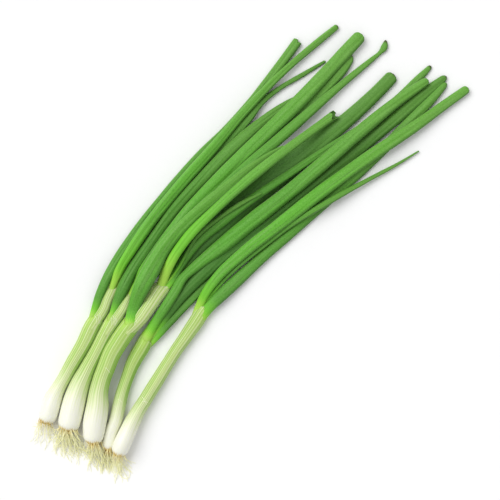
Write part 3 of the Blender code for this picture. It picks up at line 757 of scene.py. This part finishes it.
# The bulb rounds off over its last millimetres, down to a share of its width that the root plate closes
BULB_END, PLATE_SHARE = 6.0, 0.5
# How green a sheath grows towards its mouth, and how strongly painted shade greens its right side, which
# faces away from the light
MOUTH_GREEN_AND_SIDE_SHADE = {"onion_1": 0.45, "onion_2": 0.4, "onion_3": 0.9, "onion_4": 0.95, "onion_5": 0.5}
# The same for every inner sheath, its painted side shade included
INNER_GREEN = 0.1


def lift_of(name, along):
    """How far a plant's inner sheath is lifted at these places along the bunch."""
    lift, start, end = LIFTS.get(name, (0.0, 0.0, 1.0))
    return lift * eased((along - start) / (end - start))


def sheath_heights(route, solid, bulb):
    """Heights of a sheath's middle: the solid's own at the bulb, and measured down from its top past it."""
    places = np.linspace(0, route.length, 160)
    rows = route.at(places)
    under_top = solid.top(rows[:, :2]) - rows[:, 3]
    share = np.clip((places - bulb) / NECK_LENGTH, 0, 1)
    middle = fill_gaps(solid.middle(rows[:, :2])) * (1 - share) + fill_gaps(under_top) * share
    return places, smooth(middle, SMOOTHED)


def mouth_rim(route, mouth, angle, chance):
    """The place along the route where the slanted, ragged mouth lies, at each angle."""
    middle, slant, side = mouth
    ragged = 0.35 * np.sin(angle * 5 + chance.uniform(0, 6))
    ragged += 0.2 * np.sin(angle * 11 + chance.uniform(0, 6))
    return route.place_of(middle) + slant * np.cos(angle - math.radians(side)) + ragged


def sheath_girth(angle, places, to_mouth, grown, outer, phase):
    """Girth for the route's own: ribs, wrinkles at the mouth, and a rounded bulb end or a lip."""
    ribs = 0.012 * np.sin(angle * 19 + 0.5 * np.sin(places / 17)) + 0.01 * np.sin(angle * 8 + places / 30)
    wrinkles = np.exp(-to_mouth / 2.5) * np.sin(to_mouth * 1.7 + 1.2 * np.sin(angle * 3 + phase))
    girth = 1 + grown * ribs + (0.008 if outer else 0.035) * wrinkles
    if outer:
        short = np.clip(1 - places / BULB_END, 0, 1)
        return girth * np.sqrt(1 - (1 - PLATE_SHARE**2) * short**2)
    return girth * (1 - LIP * np.exp(-to_mouth / LIP_LENGTH))


def make_sheath(name, rows, solid, mouth, cut, green, outer, chance):
    """An open tube of sheath skin, from the start of its route to its mouth."""
    route = Route(rows)
    heights = sheath_heights(route, solid, BULB_LENGTH if outer else -BULB_LENGTH)
    tube = upright_tube(name, SHEATH_SIDES, int(route.length / SHEATH_STEP), "NOTHING")
    spots = points_of(tube)
    angle = np.arctan2(spots[:, 1], spots[:, 0])
    rim = mouth_rim(route, mouth, angle, chance)
    blade = 0.0 if cut is None else np.exp(-(((angle - math.radians(cut)) / BLADE_SPREAD) ** 2))
    stop = rim - BLADE_CUT * blade
    places = (spots[:, 2] + 0.5) * np.minimum(stop, route.length)
    to_mouth = rim - places
    rows = route.at(places)
    lift = 0 if outer else lift_of(name.split("_inner")[0], rows[:, 0])
    grown = np.clip((places - BULB_LENGTH * 0.7) / NECK_LENGTH, 0, 1) if outer else 1.0
    girth = sheath_girth(angle, places, to_mouth, grown, outer, mouth[0])
    out = rows[:, 2] * np.cos(angle) * girth + 0.25 * wander(places, 60, chance)
    up = rows[:, 3] * np.sin(angle) * girth
    lay_along(tube, route, heights, places, out, up + lift)
    note(tube, "round", np.cos(angle), np.sin(angle), places if outer else places + GROWN)
    note(tube, "sheath", to_mouth, green, 1.0 if outer else 0.0)
    note(tube, "blade", blade * np.exp((places - stop) / BLADE_FADE), 0, 0)
    give_wall(tube)
    return tube


def make_sheaths(name, skin, scar, chance):
    """The sheaths of one onion, and the nicks in the outer one."""
    solid = packed(name + "_stalk")
    outer = make_sheath(
        name + "_outer_sheath", SHEATHS[name], solid, MOUTHS[name],
        BLADE_SIDES[name], MOUTH_GREEN_AND_SIDE_SHADE[name], True, chance
    )
    dress(outer, skin, "stalk", name + "_stalk")
    if name in INNER_SHEATHS:
        inner = make_sheath(
            name + "_inner_sheath", INNER_SHEATHS[name], solid, INNER_MOUTHS[name],
            None, INNER_GREEN, False, chance
        )
        dress(inner, skin, "stalk", name + "_stalk")
    make_nicks(name, Solid(outer.data), solid, scar)


def make_nicks(name, skin, solid, finish):
    """Slivers of lifted skin on the outer sheath, and over what comes out of it."""
    lines = []
    for ends in NICKS[name]:
        share = np.linspace(0, 1, STRAND_POINTS)[:, None]
        spots = np.array(ends[0]) * (1 - share) + np.array(ends[1]) * share
        spots[:, 0] += 0.35 * np.sin(share[:, 0] * 5)
        heights = fill_gaps(np.fmax(skin.top(spots), solid.top(spots)))
        lines.append(np.column_stack([spots, heights + NICK_RISE]))
    nicks = make_strands(name + "_nicks", lines, NICK_HALF, [1.0] * len(lines))
    points = points_of(nicks) / MM
    note(nicks, "root", points[:, 0], points[:, 1], points[:, 2])
    dress(nicks, finish, "stalk")


# Leaves

# How far the base of a blade stands over the sheath that it grows from, at its start and at the mouth
BLADE_RISE = (-1.1, 0.9)
# How long before its solid starts a leaf begins to leave the sheath, and how long that takes
LEAVE_EARLY, LEAVE_LENGTH = 8, 26
# A notched or torn tip takes from a leaf near its end alone, as a high power of the share is nearly 0 before
END_POWER = 30


def leaf_heights(name, route, looks):
    """Heights of a leaf's middle, and how free of its sheath it is: inside, it follows the stalk."""
    places = np.linspace(0, route.length, 200)
    rows = route.at(places)
    plant = name.rsplit("_leaf", 1)[0]
    stalk = packed(plant + "_stalk")
    own = packed(name).middle(rows[:, :2])
    if looks["blade"]:
        mean, slant, _ = MOUTHS[plant]
        leave = route.place_of(mean + slant + 1)
        rise = np.interp(places, [0, leave], BLADE_RISE)
        inside = fill_gaps(stalk.top(rows[:, :2])) - rows[:, 2] * looks["flatness"] + rise
    else:
        leave = places[~np.isnan(own)][0] - LEAVE_EARLY
        inside = fill_gaps(stalk.middle(rows[:, :2])) + lift_of(plant, rows[:, 0])
    free = eased((places - leave) / LEAVE_LENGTH)
    middle = smooth(inside * (1 - free) + fill_gaps(own) * free, SMOOTHED)
    return (places, middle), (places, free)


def tip_shape(route, places, looks):
    """How much of its width a leaf has near its tip, from 1 to nearly 0."""
    last = route.points[-1][2]
    length = max(last * looks["round_tip"], 0.3)
    t = np.clip((places - (route.length - length)) / length, 0, 1)
    return np.sqrt(np.maximum(1 - t * t, 0.0004))


def tip_loss(tip, angle, filled):
    """How many millimetres of a notched or torn tip are missing, at each angle."""
    if tip == "torn":
        return 2.4 * np.sin(angle) + 1.6 * np.sin(angle * 3 + 1) + 2.4
    if tip == "notched":
        aside = np.cos(angle) * filled
        return 1.8 * np.exp(-(((aside + 0.2) / 0.3) ** 2)) + 1.2 * (aside < -0.2)
    return 0.0


def leaf_section(angle, wide, thick, crease, free, looks):
    """Out and up offsets round a leaf: a flattened tube with crisp edges, a crease, and a ridge on some."""
    cos, sin = np.cos(angle), np.sin(angle)
    lens = np.sign(sin) * (1 - np.abs(cos) ** 2.4) ** 0.6
    peak = looks["ridge"]
    roof = np.clip(np.where(cos > peak, (1 - cos) / (1 - peak), (1 + cos) / (1 + peak)), 0, 1) ** 0.85
    upper = (sin > 0) * free
    share = looks["ridge_height"] * upper
    groove = CREASE * np.exp(-(((cos - crease) / 0.17) ** 2)) * upper
    return wide * cos, thick * (lens * (1 - share) + roof * 1.12 * share - groove)


def make_leaf(name, finish, chance):
    """A leaf, from inside its sheath to its tip, with rings that are closer towards the tip."""
    looks = {**PLAIN_LEAF, **LEAF_LOOKS[name]}
    route = Route(LEAVES[name])
    torn = looks["tip"] == "torn"
    tube = upright_tube(name + "_skin", LEAF_SIDES, LEAF_RINGS, "NOTHING" if torn else "TRIFAN")
    spots = points_of(tube)
    angle = np.arctan2(spots[:, 1], spots[:, 0])
    filled = np.hypot(spots[:, 0], spots[:, 1])
    share = 1 - (0.5 - spots[:, 2]) ** 1.3
    places = share * route.length - share**END_POWER * tip_loss(looks["tip"], angle, filled)
    rows = route.at(places)
    shape = tip_shape(route, places, looks) * filled
    wide = rows[:, 2] * (1 + 0.03 * wander(places, 70, chance))
    thick = rows[:, 2] * looks["flatness"] * (1 + 0.07 * wander(places, 90, chance))
    thick = np.maximum(thick, THINNEST_HALF)
    crease = chance.uniform(-0.5, 0.3) + 0.3 * wander(places, 170, chance)
    heights, freedom = leaf_heights(name, route, looks)
    free = np.interp(places, *freedom)
    out, up = leaf_section(angle, wide * shape, thick * shape, crease, free, looks)
    up = up * (1 + 0.025 * free * np.cos(angle * 11))
    turn = np.radians(7 * wander(places, 130, chance)) * free
    out, up = out * np.cos(turn) - up * np.sin(turn), out * np.sin(turn) + up * np.cos(turn)
    lay_along(tube, route, heights, places, out, up)
    left = route.length - places
    note(tube, "round", np.cos(angle), np.sin(angle), places - looks["green_from"])
    note(tube, "leaf", left, looks["brightness"], looks["lime"])
    note(tube, "dry", np.clip(1 - left / max(looks["dry_tip"], 0.01), 0, 1), 0, 0)
    if torn:
        give_wall(tube)
    dress(tube, finish, "leaf", name)


# Roots


def root_start(end, wide, middle, side, chance):
    """Where a root leaves the bulb, near this side of its plate."""
    aside = max(-ROOT_COVER, min(ROOT_COVER, side * 0.75 + chance.gauss(0, 0.3)))
    rise = chance.uniform(-0.6, 0.98) * math.sqrt(ROOT_COVER - aside * aside)
    outer = 1 - math.hypot(aside, rise) ** 2
    back = BULB_END * max(1 - math.sqrt(outer / (1 - PLATE_SHARE**2)), 0.05) + ROOT_DEPTH
    spot = end + BULB_SIDE * aside * wide + BULB_AHEAD * back
    return (*spot, middle + rise * wide)


def root_line(start, sweep, spread, tangle, chance):
    """Points of one root, which drops to the table and goes off with its bundle in bends of its own."""
    long = chance.uniform(0.55, 1.05)
    lean = chance.uniform(-1, 1)
    lift = chance.uniform(0, 1.6)
    s = np.linspace(0, 1, STRAND_POINTS)
    sweep = np.array(sweep, float)
    across = np.array([-sweep[1], sweep[0]]) / np.linalg.norm(sweep)
    bow = np.outer(s * (1 - s) * long, -BULB_AHEAD * 7)
    bends = s * np.sin(s * chance.uniform(3, 9) + chance.uniform(0, 6)) * chance.uniform(0.3, 1)
    bends += 0.7 * s * np.sin(s * chance.uniform(9, 15) + chance.uniform(0, 6))
    curl = chance.gauss(0, ROOT_CURL) * np.linalg.norm(sweep)
    aside = s**1.3 * lean * spread + tangle * bends + curl * s**2.5
    spots = start[:2] + bow + np.outer(s * s * 0.4 + s * 0.6, sweep * long) + np.outer(aside, across)
    rest = ROOT_HALF + lift * s * (1 - s) * 2 + tangle * np.abs(np.sin(s * 5 + lean * 3)) * s * (1 - s)
    height = rest + (start[2] - ROOT_HALF) * np.cos(s * math.pi / 2) ** chance.uniform(1.2, 2.2)
    return np.column_stack([spots, np.maximum(height, ROOT_HALF)])


def make_strands(name, lines, half, thicknesses):
    """A mesh of round strands along lines of points, thinner towards their ends."""
    bpy.ops.object.select_all(action="DESELECT")
    curve = bpy.data.curves.new(name, "CURVE")
    curve.dimensions = "3D"
    curve.bevel_depth = half * MM
    curve.bevel_resolution = 1
    curve.use_fill_caps = True
    for line, thick in zip(lines, thicknesses):
        spline = curve.splines.new("NURBS")
        spline.points.add(len(line) - 1)
        for k, (point, (x, y, z)) in enumerate(zip(spline.points, line)):
            point.co = ((x - MIDDLE[0]) * MM, (y - MIDDLE[1]) * MM, z * MM, 1)
            point.radius = thick * (1 - 0.55 * k / len(line))
        spline.order_u = 4
        spline.use_endpoint_u = True
        spline.resolution_u = 2
    strands = bpy.data.objects.new(name, curve)
    bpy.context.scene.collection.objects.link(strands)
    strands.select_set(True)
    bpy.context.view_layer.objects.active = strands
    bpy.ops.object.convert(target="MESH")
    return bpy.context.object


def make_roots(name, finish, chance):
    """The tuft of one onion, in bundles, and its plate."""
    along, across, wide, _ = SHEATHS[name][0]
    end = np.array([along, across])
    middle = fill_gaps(packed(name + "_stalk").middle(end + np.outer([1, 2, 3], BULB_AHEAD)))[0]
    lines = []
    for side, sweep_along, sweep_across, spread, count, tangle in ROOT_BUNDLES[name]:
        for _ in range(count):
            start = root_start(end, wide, middle, side, chance)
            lines.append(root_line(start, (sweep_along, sweep_across), spread, tangle, chance))
    if name == "onion_5":
        stray = Route([(x, y, ROOT_HALF + 0.15 * k) for k, (x, y) in enumerate(STRAY_ROOT)])
        lines.append(stray.at(np.linspace(0, stray.length, STRAND_POINTS)))
    tuft = make_strands(name + "_root_fibres", lines, ROOT_HALF, [chance.uniform(0.6, 1.25) for _ in lines])
    points = points_of(tuft) / MM
    starts = np.array([line[0] for line in lines]) - (*MIDDLE, 0)
    strands = points.reshape(len(lines), -1, 3)
    reach = np.linalg.norm(strands - starts[:, None], axis=2).ravel()
    ages = [ROOT_AGE[name] * chance.uniform(0.3, 1.2) for _ in lines]
    note(tuft, "root", reach, points[:, 0], np.repeat(ages, strands.shape[1]))
    dress(tuft, finish, "roots", name + "_roots")
    make_root_plate(name, (*end, middle), wide * PLATE_SHARE, finish)


def make_root_plate(name, place, half, finish):
    """The corky disc that closes the bulb, with a lumpy face."""
    bpy.ops.object.select_all(action="DESELECT")
    bpy.ops.mesh.primitive_uv_sphere_add(segments=36, ring_count=20, radius=1)
    plate = bpy.context.object
    plate.name = plate.data.name = name + "_root_plate"
    points = points_of(plate)
    ahead, aside, rise = points.T
    lumps = 1 + 0.06 * np.sin(ahead * 7 + aside * 9) + 0.06 * np.sin(aside * 13 + rise * 11)
    ahead, aside, rise = points.T * lumps
    deep = ahead * PLATE_HALF + PLATE_DEPTH
    spots = np.array(place[:2]) + np.outer(deep, BULB_AHEAD) + np.outer(aside * half, BULB_SIDE)
    move_points(plate, np.column_stack([spots, np.maximum(place[2] + rise * half, LOWEST)]))
    reach = 2.6 + 1.4 * np.sin(aside * 9 + rise * 4)
    age = ROOT_AGE[name] * (0.5 + 0.4 * np.sin(aside * 5 + rise * 7))
    note(plate, "root", reach, aside * 8, age)
    dress(plate, finish, "roots")


# The stage

# The middle of the photographed square on the table, in millimetres of the row frame
VIEW_MIDDLE = (7.5, -15.4)
VIEW_WIDTH = 400.0
VIEW_TURN = 50.0
CAMERA_HEIGHT = 2000.0
PILE_MIDDLE = 10.0
SENSOR = 36.0
# Where the light comes from in the picture, how high it stands for that, and how broad and strong it is
LIGHT_RIGHT, LIGHT_UP, LIGHT_RISE = -0.76, 0.65, 1.3
LIGHT_DEGREES, LIGHT_STRENGTH = 45, 1.92
ROOM_STRENGTH = 0.61
TABLE_METRES = 6


def make_camera():
    """Straight above the bunch, turned so that it runs from the lower left to the upper right."""
    lens = SENSOR * (CAMERA_HEIGHT - PILE_MIDDLE) / VIEW_WIDTH
    bpy.ops.object.camera_add(location=(VIEW_MIDDLE[0] * MM, VIEW_MIDDLE[1] * MM, CAMERA_HEIGHT * MM))
    camera = bpy.context.object
    camera.rotation_euler = (0, 0, math.radians(-VIEW_TURN))
    camera.data.sensor_width = SENSOR
    camera.data.lens = lens
    bpy.context.scene.camera = camera


def picture_way(right, up):
    """A direction on the table, from how it runs in the picture."""
    cos, sin = math.cos(math.radians(VIEW_TURN)), math.sin(math.radians(VIEW_TURN))
    return Vector((right * cos + up * sin, up * cos - right * sin, 0))


def make_light():
    """A broad even light from the upper left of the picture."""
    place = picture_way(LIGHT_RIGHT, LIGHT_UP) + Vector((0, 0, LIGHT_RISE))
    bpy.ops.object.light_add(type="SUN", location=place)
    lamp = bpy.context.object
    lamp.name = "window_light"
    lamp.data.angle = math.radians(LIGHT_DEGREES)
    lamp.data.energy = LIGHT_STRENGTH
    lamp.rotation_euler = place.to_track_quat("Z", "Y").to_euler()


def make_stage():
    """The table, the light and the bright room around them."""
    bpy.ops.mesh.primitive_plane_add(size=TABLE_METRES)
    table = bpy.context.object
    table.name = "table_top"
    table.data.materials.append(table_finish())
    make_light()
    world = bpy.data.worlds.new("soft_room")
    world.use_nodes = True
    sky = world.node_tree.nodes["Background"]
    sky.inputs["Color"].default_value = (1, 1, 1, 1)
    sky.inputs["Strength"].default_value = ROOM_STRENGTH
    bpy.context.scene.world = world
    bpy.context.scene.view_settings.view_transform = "Standard"


def main():
    """The stage, then each onion's sheaths and roots, then the leaves."""
    make_camera()
    make_stage()
    sheath, scar, leaf, root = sheath_finish(), scar_finish(), leaf_finish(), root_finish()
    for number, name in enumerate(SHEATHS):
        make_sheaths(name, sheath, scar, random.Random(SEED + number))
        make_roots(name, root, random.Random(SEED * 10 + number))
    for number, name in enumerate(LEAVES):
        make_leaf(name, leaf, random.Random(SEED * 100 + number))


main()
